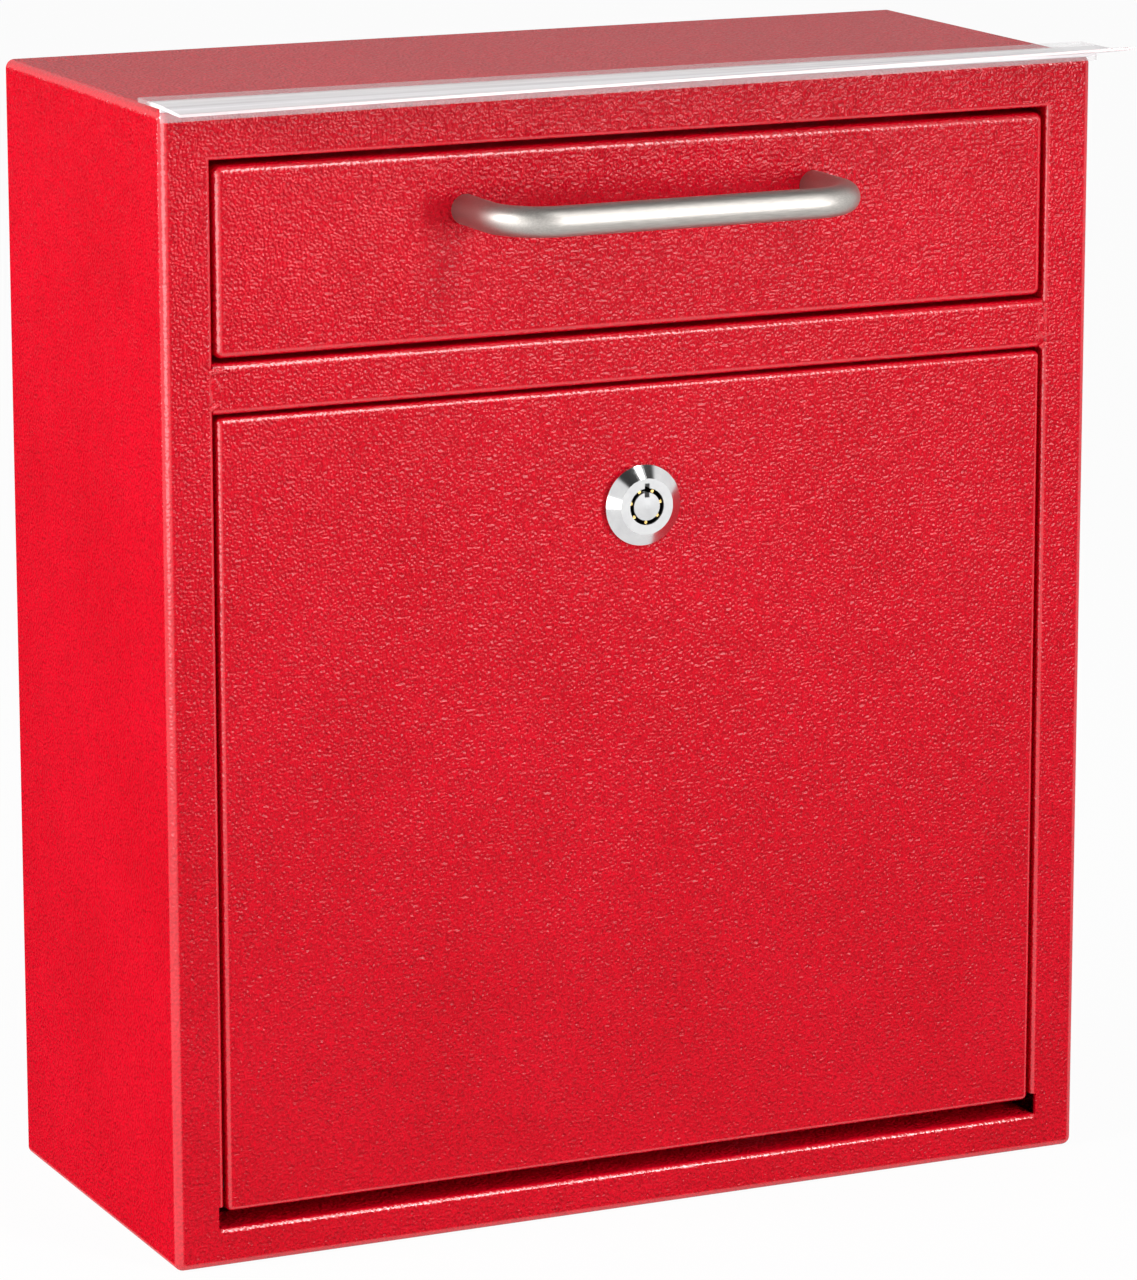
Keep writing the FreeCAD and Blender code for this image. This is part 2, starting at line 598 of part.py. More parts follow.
def cheek(label, inside):
    """Side plate of the hopper: swings under the top return, and its lug stops the hopper there."""
    body = new_body(label)
    sketch = sketch_on(body, "YZ_Plane", inside)
    pivot_y = f"({FRONT} + hopper_pivot_depth)"
    front = f"{FRONT} + hopper_edge_radius"
    fold = f"{FRONT} + {HOPPER_DEPTH} + cheek_gap"
    radius = f"({HOPPER_TOP} - hopper_edge_radius - {HOPPER_PIVOT} - cheek_gap)"
    return_back = "(jamb_depth - hopper_pivot_depth)"
    return_rise = f"({WINDOW_TOP} - {HOPPER_PIVOT})"
    lug_radius = f"(sqrt({return_back} ^ 2 + {return_rise} ^ 2) + lug_overlap)"
    lug_front = f"(atan({return_back} / {return_rise}) + (hopper_open_angle + lug_clear_angle) * 1 deg)"
    lug_rear = f"({lug_front} + lug_angle * 1 deg)"
    top_rise = f"sqrt({radius} ^ 2 - (hopper_pivot_depth - hopper_edge_radius) ^ 2)"
    low = f"{HOPPER_BOTTOM} + hopper_edge_radius"
    outline(sketch, [
        (front, low),
        (fold, low),
        (fold, TRAY_BOTTOM),
        (TRAY_UNDER_CREASE, TRAY_BOTTOM),
        (TRAY_REAR, TRAY_REAR_UNDER),
        (TRAY_REAR, f"{TRAY_REAR_TOP} + cheek_rear_height"),
        (f"{pivot_y} + {lug_radius} * sin({lug_rear})", f"{HOPPER_PIVOT} + {lug_radius} * cos({lug_rear})"),
        (f"{pivot_y} + {lug_radius} * sin({lug_front})", f"{HOPPER_PIVOT} + {lug_radius} * cos({lug_front})"),
        (f"{pivot_y} + {radius} * sin({lug_front})", f"{HOPPER_PIVOT} + {radius} * cos({lug_front})",
         pivot_y, HOPPER_PIVOT),
        (front, f"{HOPPER_PIVOT} + {top_rise}"),
    ])
    circle_at(sketch, pivot_y, HOPPER_PIVOT, "hopper_pin_radius + pin_fit")
    pad(body, sketch, "tray_sheet")
    return body


def handle():
    """Round bar bent to two legs, each with a blind screw hole in its end."""
    body = new_body("handle", z=HANDLE_LEVEL)
    line = sketch_on(body, "XY_Plane")
    half = "handle_span / 2"
    bar = f"{FRONT} - handle_reach"
    bend_y = f"{bar} + handle_bend"
    path(line, [
        (f"-{half}", FRONT),
        (f"-{half}", bend_y, f"-{half} + handle_bend", bend_y),
        (f"-{half} + handle_bend", bar),
        (f"{half} - handle_bend", bar, f"{half} - handle_bend", bend_y),
        (half, bend_y),
        (half, FRONT),
    ])
    section = sketch_on(body, "XZ_Plane", "box_depth")
    circle_at(section, f"-{half}", "0", "handle_radius")
    pipe = body.newObject("PartDesign::AdditivePipe", "handle_bar")
    pipe.Profile = section
    pipe.Spine = line
    doc.recompute()
    holes = sketch_on(body, "XZ_Plane", "box_depth")
    for x in (f"-{half}", half):
        circle_at(holes, x, "0", "handle_screw_radius + pin_fit")
    cut(body, holes, "handle_thread_depth", forward=True)
    return body


def handle_fixings():
    """Washers and pan-head screws that hold the handle from inside the hopper door."""
    seat = "sheet + handle_washer_thickness"
    bore = "handle_screw_radius + screw_fit"
    washer = turned("handle_washer_right", "YZ_Plane", [
        ("sheet", bore),
        (seat, bore),
        (seat, "handle_washer_radius"),
        ("sheet", "handle_washer_radius"),
    ], "handle_span / 2", FRONT, HANDLE_LEVEL)
    head = f"{seat} + handle_screw_head_height"
    tip = "-(handle_thread_depth - overrun)"
    screw = turned("handle_screw_right", "YZ_Plane", [
        (tip, "0"),
        (head, "0"),
        (head, "handle_screw_head_radius * head_top_share"),
        (f"{seat} + handle_screw_head_height * head_side_share", "handle_screw_head_radius"),
        (seat, "handle_screw_head_radius"),
        (seat, "handle_screw_radius"),
        (tip, "handle_screw_radius"),
    ], "handle_span / 2", FRONT, HANDLE_LEVEL)
    return [both_sides("handle_washers", washer), both_sides("handle_screws", screw)]


def pivot_pair(prefix, radius, head_radius, washer_radius, inside, outside, depth, level):
    """Pivot pins headed inside the door, with spacing washers between the door and the jambs."""
    tail = f"{WINDOW_HALF} + sheet + pin_tail"
    y = f"{FRONT} + {depth}"
    pin = turned(f"{prefix}_pin_right", "XZ_Plane", [
        (f"{inside} - pin_head_height", "0"),
        (tail, "0"),
        (tail, radius),
        (inside, radius),
        (inside, head_radius),
        (f"{inside} - pin_head_height * head_side_share", head_radius),
        (f"{inside} - pin_head_height", radius),
    ], "0", y, level)
    bore = f"{radius} + pin_fit"
    washer = turned(f"{prefix}_washer_right", "XZ_Plane", [
        (f"{outside} + washer_play", bore),
        (f"{WINDOW_HALF} - washer_play", bore),
        (f"{WINDOW_HALF} - washer_play", washer_radius),
        (f"{outside} + washer_play", washer_radius),
    ], "0", y, level)
    return [both_sides(f"{prefix}_pins", pin), both_sides(f"{prefix}_washers", washer)]


def door_panel():
    """Lower door pan with its pivot holes and the flatted hole of the lock."""
    body = pan("door_panel", DOOR_HALF, DOOR_BOTTOM, DOOR_TOP, DOOR_DEPTH, "door_edge_radius")
    side_holes(body, "door_pivot_depth", DOOR_PIVOT, "door_pin_radius + pin_fit",
               f"2 * {DOOR_HALF} + 2 * overrun")
    hole = sketch_on(body, "XZ_Plane", "box_depth + overrun")
    flat = "(lock_flat_width / 2 + screw_fit)"
    radius = "(lock_thread_radius + screw_fit)"
    corner = f"sqrt({radius} ^ 2 - {flat} ^ 2)"
    outline(hole, [
        (flat, f"{LOCK_LEVEL} - {corner}"),
        (flat, f"{LOCK_LEVEL} + {corner}", "0", LOCK_LEVEL),
        (f"-{flat}", f"{LOCK_LEVEL} + {corner}"),
        (f"-{flat}", f"{LOCK_LEVEL} - {corner}", "0", LOCK_LEVEL),
    ])
    cut(body, hole, "sheet + 2 * overrun")
    return body


KEYWAY_FLOOR = "(keyway_depth - lock_face_height)"
CAM_FRONT = "(lock_barrel_length + cam_play + stop_washer_thickness)"
CAM_REAR = f"({CAM_FRONT} + cam_thickness)"
PIN_CIRCLE = "((lock_bore_radius + lock_post_radius) / 2)"


def lock_plate(label, rear):
    """Start a flat piece of the lock: a body at the lock and a sketch on the plate's rear face."""
    body = new_body(label, "0", FRONT, LOCK_LEVEL)
    sketch = sketch_on(body, "XZ_Plane", f"-({rear})")
    return body, sketch


def square(sketch, width):
    """Draw a square about the sketch's origin."""
    rectangle(sketch, f"-({width}) / 2", f"({width}) / 2", f"-({width}) / 2", f"({width}) / 2")


def lock_housing():
    """Bezel and flatted barrel with the keyway bored through and the index notch in the face."""
    body = turned("lock_housing", "YZ_Plane", [
        ("-lock_face_height", "lock_bore_radius"),
        ("lock_barrel_length", "lock_bore_radius"),
        ("lock_barrel_length", "lock_thread_radius"),
        ("0", "lock_thread_radius"),
        ("0", "lock_bezel_radius"),
        ("-lock_rim_height", "lock_bezel_radius"),
        ("-lock_face_height", "lock_face_radius"),
    ], "0", FRONT, LOCK_LEVEL)
    flats = sketch_on(body, "XZ_Plane")
    side = "(lock_thread_radius + overrun)"
    rectangle(flats, "lock_flat_width / 2", side, f"-{side}", side)
    rectangle(flats, f"-{side}", "-lock_flat_width / 2", f"-{side}", side)
    cut(body, flats, "lock_barrel_length + overrun")
    notch = sketch_on(body, "XZ_Plane", "lock_face_height")
    rectangle(notch, "-index_width / 2", "index_width / 2",
              "lock_post_radius", "lock_bore_radius + index_reach")
    cut(body, notch, "index_depth")
    return body


def lock_post():
    """Centre post of the keyway, with its index notch and the shank that fixes it in the plug."""
    rim = "(lock_post_setback - lock_face_height)"
    tip = f"({rim} - lock_post_cone)"
    shank_end = f"{KEYWAY_FLOOR} + lock_shank_length"
    body = turned("lock_post", "YZ_Plane", [
        (tip, "0"),
        (shank_end, "0"),
        (shank_end, "lock_shank_radius"),
        (KEYWAY_FLOOR, "lock_shank_radius"),
        (KEYWAY_FLOOR, "lock_post_radius"),
        (rim, "lock_post_radius"),
        (tip, "lock_post_radius * lock_post_tip_share"),
    ], "0", FRONT, LOCK_LEVEL)
    notch = sketch_on(body, "XZ_Plane", "lock_face_height + lock_post_cone")
    rectangle(notch, "-index_width / 2", "index_width / 2",
              "lock_post_radius - index_reach", "lock_post_radius + overrun")
    cut(body, notch, "index_depth + lock_post_cone")
    return body


def lock_plug():
    """Turning plug: drilled floor of the keyway for the pins, square spindle for the cam."""
    barrel = "(lock_bore_radius - pin_fit)"
    bore = "(lock_shank_radius + pin_fit)"
    bore_end = f"({KEYWAY_FLOOR} + lock_shank_length + pin_fit)"
    body = turned("lock_plug", "YZ_Plane", [
        (bore_end, "0"),
        ("lock_barrel_length", "0"),
        ("lock_barrel_length", barrel),
        (KEYWAY_FLOOR, barrel),
        (KEYWAY_FLOOR, bore),
        (bore_end, bore),
    ], "0", FRONT, LOCK_LEVEL)
    spindle = sketch_on(body, "XZ_Plane", "-lock_barrel_length")
    square(spindle, "spindle_width")
    pad(body, spindle, f"{CAM_REAR} - lock_barrel_length", backward=True)
    thread = sketch_on(body, "XZ_Plane", f"-{CAM_REAR}")
    circle_at(thread, "0", "0", "cam_screw_radius + pin_fit")
    cut(body, thread, "cam_screw_length + overrun", forward=True)
    hole = sketch_on(body, "XZ_Plane", f"-{KEYWAY_FLOOR}")
    circle_at(hole, "0", f"-{PIN_CIRCLE}", "lock_pin_radius + pin_fit")
    drilled = cut(body, hole, "lock_pin_length")
    ring = body.newObject("PartDesign::PolarPattern", "lock_plug_pin_holes")
    ring.Originals = [drilled]
    ring.Axis = (spindle, ["N_Axis"])
    ring.Angle = 360
    ring.setExpression("Occurrences", cell("lock_pin_count"))
    body.Tip = ring
    doc.recompute()
    return body


def lock_pins():
    """Pins that stand in the floor of the keyway, in a ring."""
    pins = []
    for number in range(int(value("lock_pin_count"))):
        turn = f"({number} * 360 / lock_pin_count + 180)"
        pin = doc.addObject("Part::Cylinder", f"lock_pin_{number + 1}")
        pin.setExpression("Radius", cell("lock_pin_radius"))
        pin.setExpression("Height", cell("lock_pin_length"))
        pin.Placement.Rotation = FreeCAD.Rotation(FreeCAD.Vector(1, 0, 0), -90)
        place(pin, f"{PIN_CIRCLE} * sin({turn})", f"{FRONT} + {KEYWAY_FLOOR} - lock_pin_proud",
              f"{LOCK_LEVEL} + {PIN_CIRCLE} * cos({turn})")
        pins.append(pin)
    return group("lock_pins", pins)


def lock_nut():
    """Hexagon nut that clamps the lock behind the door panel."""
    rear = "sheet + lock_nut_thickness"
    body, sketch = lock_plate("lock_nut", rear)
    corner = "(lock_nut_width / sqrt(3))"
    outline(sketch, [(f"{corner} * cos({turn})", f"{corner} * sin({turn})") for turn in range(0, 360, 60)])
    circle_at(sketch, "0", "0", "lock_thread_radius + pin_fit")
    pad(body, sketch, "lock_nut_thickness")
    return body


def stop_washer():
    """Round plate on the square spindle, behind the barrel."""
    body, sketch = lock_plate("lock_stop_washer", CAM_FRONT)
    circle_at(sketch, "0", "0", "stop_washer_radius")
    square(sketch, "spindle_width + 2 * pin_fit")
    pad(body, sketch, "stop_washer_thickness")
    return body


def lock_cam():
    """Tapered cam on the square spindle, lying to the left when unlocked."""
    body, sketch = lock_plate("lock_cam", CAM_REAR)
    outline(sketch, [
        ("0", "-cam_width / 2", "0", "0"),
        ("cam_width / 2", "0", "0", "0"),
        ("0", "cam_width / 2"),
        ("-cam_length", "cam_tip_width / 2"),
        ("-cam_length", "-cam_tip_width / 2"),
    ])
    square(sketch, "spindle_width + 2 * pin_fit")
    pad(body, sketch, "cam_thickness")
    round_edges(body, "cam_tip_radius", lambda edge: (
        edge.BoundBox.YLength > NEAR and on_plane(edge.CenterOfMass.x, "-cam_length")))
    return body


def cam_fixings():
    """Washer and screw that hold the cam on the spindle."""
    seat = f"({CAM_REAR} + cam_washer_thickness)"
    washer = turned("cam_washer", "YZ_Plane", [
        (CAM_REAR, "cam_screw_radius + screw_fit"),
        (seat, "cam_screw_radius + screw_fit"),
        (seat, "cam_washer_radius"),
        (CAM_REAR, "cam_washer_radius"),
    ], "0", FRONT, LOCK_LEVEL)
    head = f"({seat} + cam_screw_head_height)"
    tip = f"({seat} - cam_screw_length)"
    screw = turned("cam_screw", "YZ_Plane", [
        (tip, "0"),
        (head, "0"),
        (head, "cam_screw_head_radius * head_top_share"),
        (f"{seat} + cam_screw_head_height * head_side_share", "cam_screw_head_radius"),
        (seat, "cam_screw_head_radius"),
        (seat, "cam_screw_radius"),
        (tip, "cam_screw_radius"),
    ], "0", FRONT, LOCK_LEVEL)
    return [washer, screw]


nodes = [
    cabinet_shell(),
    back_panel(),
    mid_rail(),
    rain_guard(),
    guard_tape(),
    hopper_door(),
    hopper_tray(),
    cheek("left_cheek", f"-{CHEEK_INSIDE} - tray_sheet"),
    cheek("right_cheek", CHEEK_INSIDE),
    handle(),
    *handle_fixings(),
    *pivot_pair("hopper", "hopper_pin_radius", "hopper_pin_head_radius", "hopper_washer_radius",
                CHEEK_INSIDE, HOPPER_HALF, "hopper_pivot_depth", HOPPER_PIVOT),
    door_panel(),
    *pivot_pair("door", "door_pin_radius", "door_pin_head_radius", "door_washer_radius",
                f"({DOOR_HALF} - sheet)", DOOR_HALF, "door_pivot_depth", DOOR_PIVOT),
    lock_housing(),
    lock_nut(),
    lock_post(),
    lock_plug(),
    lock_pins(),
    stop_washer(),
    lock_cam(),
    *cam_fixings(),
]

doc.recompute()
for thing in doc.Objects:
    if "Invalid" in thing.State or "Error" in thing.State:
        raise RuntimeError(f"{thing.Label} failed: {thing.State}")
for node in nodes:
    if node.Shape.isNull() or not node.Shape.isValid():
        raise RuntimeError(f"{node.Label} has no valid shape")

os.makedirs("parts", exist_ok=True)
for node in nodes:
    node.Shape.exportStep(f"parts/{node.Label}.step")
    print(node.Label, len(node.Shape.Solids), round(node.Shape.Volume, 1))
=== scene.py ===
import json
import math

import bmesh
import bpy
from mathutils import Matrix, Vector, noise as lattice


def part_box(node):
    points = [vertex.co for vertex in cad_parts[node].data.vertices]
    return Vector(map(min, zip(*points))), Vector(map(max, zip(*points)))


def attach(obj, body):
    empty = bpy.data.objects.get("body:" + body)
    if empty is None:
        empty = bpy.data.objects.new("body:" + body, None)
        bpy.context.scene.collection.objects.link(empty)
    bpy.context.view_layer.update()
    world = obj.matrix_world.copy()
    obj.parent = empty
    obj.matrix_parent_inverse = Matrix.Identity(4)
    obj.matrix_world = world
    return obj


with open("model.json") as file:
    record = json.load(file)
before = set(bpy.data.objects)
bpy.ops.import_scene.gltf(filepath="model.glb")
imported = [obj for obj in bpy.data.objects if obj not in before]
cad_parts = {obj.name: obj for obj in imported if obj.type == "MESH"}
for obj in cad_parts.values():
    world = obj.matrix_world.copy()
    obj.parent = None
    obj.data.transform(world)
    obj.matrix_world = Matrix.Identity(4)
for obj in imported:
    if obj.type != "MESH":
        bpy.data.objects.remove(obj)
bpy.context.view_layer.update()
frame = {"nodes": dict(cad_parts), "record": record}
nodes = frame["nodes"]

# Sizes in metres, in the frame of the part
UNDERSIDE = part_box("cabinet_shell")[0][2]
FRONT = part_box("cabinet_shell")[0][1]
BOX_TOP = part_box("cabinet_shell")[1][2]
RAIL_LEFT, RAIL_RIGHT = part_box("mid_rail")[0][0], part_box("mid_rail")[1][0]
RAIL_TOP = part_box("mid_rail")[1][2]
RAIL_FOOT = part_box("door_panel")[1][2]
GUARD_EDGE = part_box("rain_guard")[0][1]
GUARD_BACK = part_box("rain_guard")[1][1]

LOCK_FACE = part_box("lock_housing")[0][1]
LOCK_LEVEL = (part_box("lock_housing")[0][2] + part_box("lock_housing")[1][2]) / 2.0
POST_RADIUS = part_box("lock_post")[1][0]
KEYWAY_RADIUS = 0.0049
FACE_RADIUS = 0.0075
KEYWAY_FADE = 0.00012
# Depth below the lock's face over which the keyway's painted shade darkens
KEYWAY_SHADE_DEPTH = 0.0008
LIP_FADE = 0.0003

# Red paint: grains in a metre, weights of its clear top, and heights of its pebbles
PEBBLES = 1250.0
PATCHES = 25.0
RED_DARK = (0.60, 0.0, 0.011)
RED_LIGHT = (0.66, 0.001, 0.015)
# Painted shade and light: the red is darker in the pebbles' hollows and lighter on their crests
PAINTED_HOLLOW_SHADE, PAINTED_CREST_LIGHT = 0.9, 1.06
PAINT_SPECULAR = 0.001
COAT_IOR = 2.5
COAT_ROUGHNESS = 0.18
COAT_UPRIGHT, COAT_TOP, COAT_BEND = 0.054, 0.24, 0.42
COAT_LEFT_SHARE = 0.3
BEND_PEBBLES = 0.4
PAINT_PEBBLE = 0.0014
COAT_PEBBLE = 0.00024

# A face counts as flat, or as looking along an axis, where its normal lies between these
FLAT_START, FLAT_END = 0.95, 0.999
FACING_START, FACING_END = 0.9, 0.99

# A noise is mostly between these values
NOISE_LOW, NOISE_HIGH = 0.3, 0.7

# Lock: share of the plate's colour on its satin face, and roughness of the cone and of the face
SATIN_SHARE = 0.7
CONE_ROUGHNESS, SATIN_ROUGHNESS = 0.12, 0.65
# Near-black painted shade down in the keyway
KEYWAY_PAINTED_SHADE = (0.006, 0.006, 0.006, 1.0)

# Studio: a strength of 1 is white. The ceiling and a patch in front are dark: the first where a direction's
# upward share passes the start, and the second where a direction comes that near to FLAG_WAY
AMBIENT = 0.12
CEILING = 0.05
CEILING_START = 0.64
CEILING_END = 0.70
FLAG_WAY = (-0.110, -0.785, 0.610)
FLAG_START = 0.955
FLAG_END = 0.967
FLOOR_SIZE = 12.0
FLOOR_GAP = 0.0002
FLOOR_GLOW = 0.96

# Lamps: name, azimuth, elevation, distance, width, height, power
LAMPS = (
    ("edge_softbox", -62.0, 2.0, 0.8, 0.5, 0.3, 1.4),
    ("left_softbox", -88.0, 26.0, 1.7, 0.8, 0.8, 27.5),
    ("rim_softbox", -138.0, 3.0, 1.5, 0.3, 0.3, 4.0),
    ("front_softbox", 25.0, 6.0, 1.5, 0.4, 0.4, 10.3),
    ("high_softbox", 25.0, 44.0, 1.6, 0.24, 1.5, 11.8),
)

# Beads and lumps of weld where the mid rail meets the stiles
BEAD_HALF = (0.0009, 0.0007, 0.0008)
WELD_WAVE = 0.22
WELD_WAVES = 1.7
WELD_SPLIT = 4
PATCH_LEVEL = (RAIL_FOOT + RAIL_TOP) / 2.0 + 0.0004
PATCH_HALF = (RAIL_TOP - RAIL_FOOT) / 2.0 * 0.75
PATCH_DEPTH = 0.0012

# Camera of the photograph
CAMERA_AT = (-0.67034, -1.52541, 0.35589)
CAMERA_TURN = (77.3224, 0.0445, -24.7199)
CAMERA_LENS = 191.839
CAMERA_SENSOR = 36.0
CAMERA_NEAR, CAMERA_FAR = 0.01, 50.0


def new_material(name):
    """Start a material and hand back it, its node tree and its main shader."""
    material = bpy.data.materials.new(name)
    material.use_nodes = True
    tree = material.node_tree
    return material, tree, tree.nodes["Principled BSDF"]


def add(tree, kind, **inputs):
    """Add a node and set its inputs by name; a space in a name is written as an underscore."""
    node = tree.nodes.new(kind)
    for key, value in inputs.items():
        node.inputs[key.replace("_", " ")].default_value = value
    return node


def place_coordinates(tree, stretch=(1.0, 1.0, 1.0)):
    """Coordinates in metres of the part's frame, stretched along the axes."""
    where = tree.nodes.new("ShaderNodeTexCoord")
    mapping = tree.nodes.new("ShaderNodeMapping")
    mapping.inputs["Scale"].default_value = stretch
    tree.links.new(where.outputs["Object"], mapping.inputs["Vector"])
    return mapping.outputs["Vector"]


def noise(tree, vector, scale, detail=2.0, roughness=0.5):
    """Noise of that many grains in a metre."""
    node = add(tree, "ShaderNodeTexNoise", Scale=scale, Detail=detail, Roughness=roughness)
    tree.links.new(vector, node.inputs["Vector"])
    return node.outputs["Fac"]


def ramp(tree, source, stops):
    """Map a value to colours; a stop is (value, colour)."""
    node = tree.nodes.new("ShaderNodeValToRGB")
    while len(node.color_ramp.elements) < len(stops):
        node.color_ramp.elements.new(1.0)
    for element, (value, colour) in zip(node.color_ramp.elements, stops):
        element.position = value
        element.color = (*colour, 1.0)
    tree.links.new(source, node.inputs["Fac"])
    return node.outputs["Color"]


def mottle(tree, source, dark, light):
    """Colour of a noise, from dark to light."""
    return ramp(tree, source, [(NOISE_LOW, dark), (NOISE_HIGH, light)])


def spread(tree, source, low, high, start=0.0, end=1.0):
    """Map a value between start and end onto the range from low to high."""
    node = add(tree, "ShaderNodeMapRange", From_Min=start, From_Max=end, To_Min=low, To_Max=high)
    tree.links.new(source, node.inputs["Value"])
    return node.outputs["Result"]


def arithmetic(tree, operation, first, second):
    """A calculation with two values, each a socket or a number."""
    node = tree.nodes.new("ShaderNodeMath")
    node.operation = operation
    for socket, value in zip(node.inputs, (first, second)):
        if isinstance(value, bpy.types.NodeSocket):
            tree.links.new(value, socket)
        else:
            socket.default_value = value
    return node.outputs[0]


def scaled(tree, colour, factor):
    """A colour times a value."""
    node = tree.nodes.new("ShaderNodeVectorMath")
    node.operation = "SCALE"
    tree.links.new(colour, node.inputs[0])
    tree.links.new(factor, node.inputs["Scale"])
    return node.outputs["Vector"]


def position(tree):
    """Place on the part in metres, as one value for each axis."""
    parts = tree.nodes.new("ShaderNodeSeparateXYZ")
    tree.links.new(place_coordinates(tree), parts.inputs["Vector"])
    return parts.outputs["X"], parts.outputs["Y"], parts.outputs["Z"]


def bump(tree, height, distance, socket, strength=1.0):
    """Put a bump on one of a shader's normals; the strength is a socket or a number."""
    node = add(tree, "ShaderNodeBump", Distance=distance)
    if isinstance(strength, bpy.types.NodeSocket):
        tree.links.new(strength, node.inputs["Strength"])
    else:
        node.inputs["Strength"].default_value = strength
    tree.links.new(height, node.inputs["Height"])
    tree.links.new(node.outputs["Normal"], socket)


def flatness(tree):
    """1 on the flat faces of a piece and 0 on its bends, and how far a face looks to the right and up."""
    where = tree.nodes.new("ShaderNodeTexCoord")
    size = tree.nodes.new("ShaderNodeVectorMath")
    size.operation = "ABSOLUTE"
    tree.links.new(where.outputs["Normal"], size.inputs[0])
    parts = tree.nodes.new("ShaderNodeSeparateXYZ")
    tree.links.new(size.outputs["Vector"], parts.inputs["Vector"])
    first = arithmetic(tree, "MAXIMUM", parts.outputs["X"], parts.outputs["Y"])
    most = arithmetic(tree, "MAXIMUM", first, parts.outputs["Z"])
    signed = tree.nodes.new("ShaderNodeSeparateXYZ")
    tree.links.new(where.outputs["Normal"], signed.inputs["Vector"])
    return spread(tree, most, 0.0, 1.0, FLAT_START, FLAT_END), signed.outputs["X"], signed.outputs["Z"]


def red_powder_coat():
    """Red powder coat under a clear top, pebbled on the flat faces and smoother and glossier on the bends;
    its colour is darkened in the pebbles' hollows and lightened on their crests as painted shade and painted
    light.
    """
    material, tree, shader = new_material("red_powder_coat")
    vector = place_coordinates(tree)
    pebble = noise(tree, vector, PEBBLES, 0.0)
    patch = noise(tree, vector, PATCHES, 3.0)
    # Painted shade: the colour darkens in the pebbles' hollows and lightens on their crests, following the
    # bump's height
    shade = spread(tree, pebble, PAINTED_HOLLOW_SHADE, PAINTED_CREST_LIGHT, NOISE_LOW, NOISE_HIGH)
    tint = scaled(tree, mottle(tree, patch, RED_DARK, RED_LIGHT), shade)
    tree.links.new(tint, shader.inputs["Base Color"])
    tree.links.new(spread(tree, patch, 0.30, 0.40), shader.inputs["Roughness"])
    shader.inputs["Specular IOR Level"].default_value = PAINT_SPECULAR
    shader.inputs["Coat IOR"].default_value = COAT_IOR
    shader.inputs["Coat Roughness"].default_value = COAT_ROUGHNESS
    flat, rightward, upward = flatness(tree)
    level = arithmetic(tree, "MULTIPLY",
                       spread(tree, upward, COAT_UPRIGHT, COAT_TOP, FACING_START, FACING_END),
                       spread(tree, rightward, COAT_LEFT_SHARE, 1.0, -FACING_END, -FACING_START))
    gloss = arithmetic(tree, "MAXIMUM", level, spread(tree, flat, COAT_BEND, 0.0))
    tree.links.new(gloss, shader.inputs["Coat Weight"])
    strength = spread(tree, flat, BEND_PEBBLES, 1.0)
    bump(tree, pebble, PAINT_PEBBLE, shader.inputs["Normal"], strength)
    bump(tree, pebble, COAT_PEBBLE, shader.inputs["Coat Normal"], strength)
    return material


def satin_steel():
    """Steel bar with fine lines along its length."""
    material, tree, shader = new_material("satin_steel")
    vector = place_coordinates(tree, (1.0, 14.0, 14.0))
    lines = noise(tree, vector, 260.0, 4.0, 0.6)
    tint = mottle(tree, lines, (0.36, 0.34, 0.32), (0.50, 0.475, 0.445))
    tree.links.new(tint, shader.inputs["Base Color"])
    shader.inputs["Metallic"].default_value = 1.0
    tree.links.new(spread(tree, lines, 0.40, 0.54), shader.inputs["Roughness"])
    bump(tree, lines, 0.0001, shader.inputs["Normal"], 0.08)
    return material


def plated(name, dark, light, low, high, scale):
    """Plated metal with a slightly uneven colour and polish."""
    material, tree, shader = new_material(name)
    cloud = noise(tree, place_coordinates(tree), scale, 4.0, 0.6)
    tree.links.new(mottle(tree, cloud, dark, light), shader.inputs["Base Color"])
    shader.inputs["Metallic"].default_value = 1.0
    tree.links.new(spread(tree, cloud, low, high), shader.inputs["Roughness"])
    return material


def lock_chrome():
    """Bright plate with a satin face, painted near-black down in the ring-shaped keyway as the shade of that
    deep recess.
    """
    material = plated("lock_chrome", (0.66, 0.66, 0.67), (0.74, 0.74, 0.74), 0.14, 0.26, 300.0)
    tree = material.node_tree
    shader = tree.nodes["Principled BSDF"]
    across, depth, height = position(tree)
    rise = arithmetic(tree, "SUBTRACT", height, LOCK_LEVEL)
    square = arithmetic(tree, "ADD", arithmetic(tree, "MULTIPLY", across, across),
                        arithmetic(tree, "MULTIPLY", rise, rise))
    radius = arithmetic(tree, "SQRT", square, 0.0)
    ring = arithmetic(tree, "MULTIPLY",
                      arithmetic(tree, "GREATER_THAN", radius, POST_RADIUS - KEYWAY_FADE),
                      arithmetic(tree, "LESS_THAN", radius, KEYWAY_RADIUS + KEYWAY_FADE))
    # Painted shade: the keyway ring turns near-black with depth below the face
    deep = spread(tree, depth, 0.0, 1.0, LOCK_FACE, LOCK_FACE + KEYWAY_SHADE_DEPTH)
    plate = shader.inputs["Base Color"].links[0].from_socket
    mix = tree.nodes.new("ShaderNodeMix")
    mix.data_type = "RGBA"
    tree.links.new(arithmetic(tree, "MULTIPLY", ring, deep), mix.inputs["Factor"])
    satin = arithmetic(tree, "LESS_THAN", radius, FACE_RADIUS)
    tree.links.new(scaled(tree, plate, spread(tree, satin, 1.0, SATIN_SHARE)), mix.inputs[6])
    mix.inputs[7].default_value = KEYWAY_PAINTED_SHADE
    tree.links.new(mix.outputs[2], shader.inputs["Base Color"])
    tree.links.new(spread(tree, satin, CONE_ROUGHNESS, SATIN_ROUGHNESS), shader.inputs["Roughness"])
    return material


def black_nylon():
    """Matte black plastic."""
    material, tree, shader = new_material("black_nylon")
    cloud = noise(tree, place_coordinates(tree), 900.0, 2.0)
    tint = mottle(tree, cloud, (0.010, 0.010, 0.010), (0.022, 0.022, 0.022))
    tree.links.new(tint, shader.inputs["Base Color"])
    shader.inputs["Roughness"].default_value = 0.6
    return material


